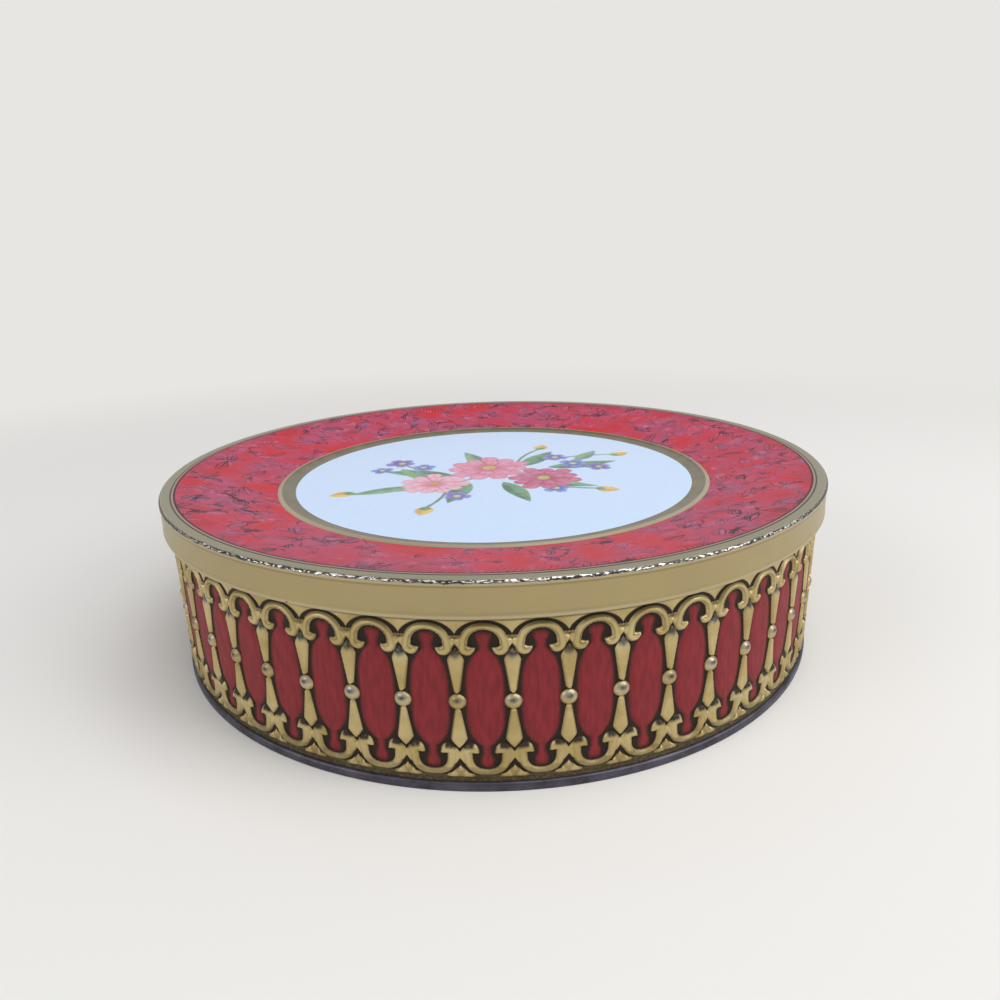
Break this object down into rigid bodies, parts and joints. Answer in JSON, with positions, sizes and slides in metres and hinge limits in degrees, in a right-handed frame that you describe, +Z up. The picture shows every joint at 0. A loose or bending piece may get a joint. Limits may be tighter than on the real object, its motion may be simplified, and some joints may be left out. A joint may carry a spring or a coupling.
{
  "type": "round tin box",
  "caption": "Low round tinplate box with an embossed arcaded wall, a seamed base and a dished printed lid that lifts straight off.",
  "frame": {"origin": "on the table, under the middle of the base", "axes": "+Z up along the tin's axis, -Y towards the front, where a stud of the wall stands"},
  "size_m": [0.1528, 0.1528, 0.0388],
  "materials": {
    "gilt_wall": "gold lacquer on embossed tinplate with crimson printed panels and dark printed outlines",
    "plain_tin": "plain tinplate, dulled and darkened with age",
    "printed_lid": "printed and varnished tinplate: gold skirt and rim, crimson border, white medallion"
  },
  "bodies": {
    "body": {"body_wall": "gilt_wall", "base": "plain_tin"},
    "lid": {"lid": "printed_lid"}
  },
  "joints": [
    {"name": "lid_lift", "type": "slide", "parent": "body", "child": "lid", "axis": [0, 0, 1], "range_m": [0, 0.12]}
  ]
}
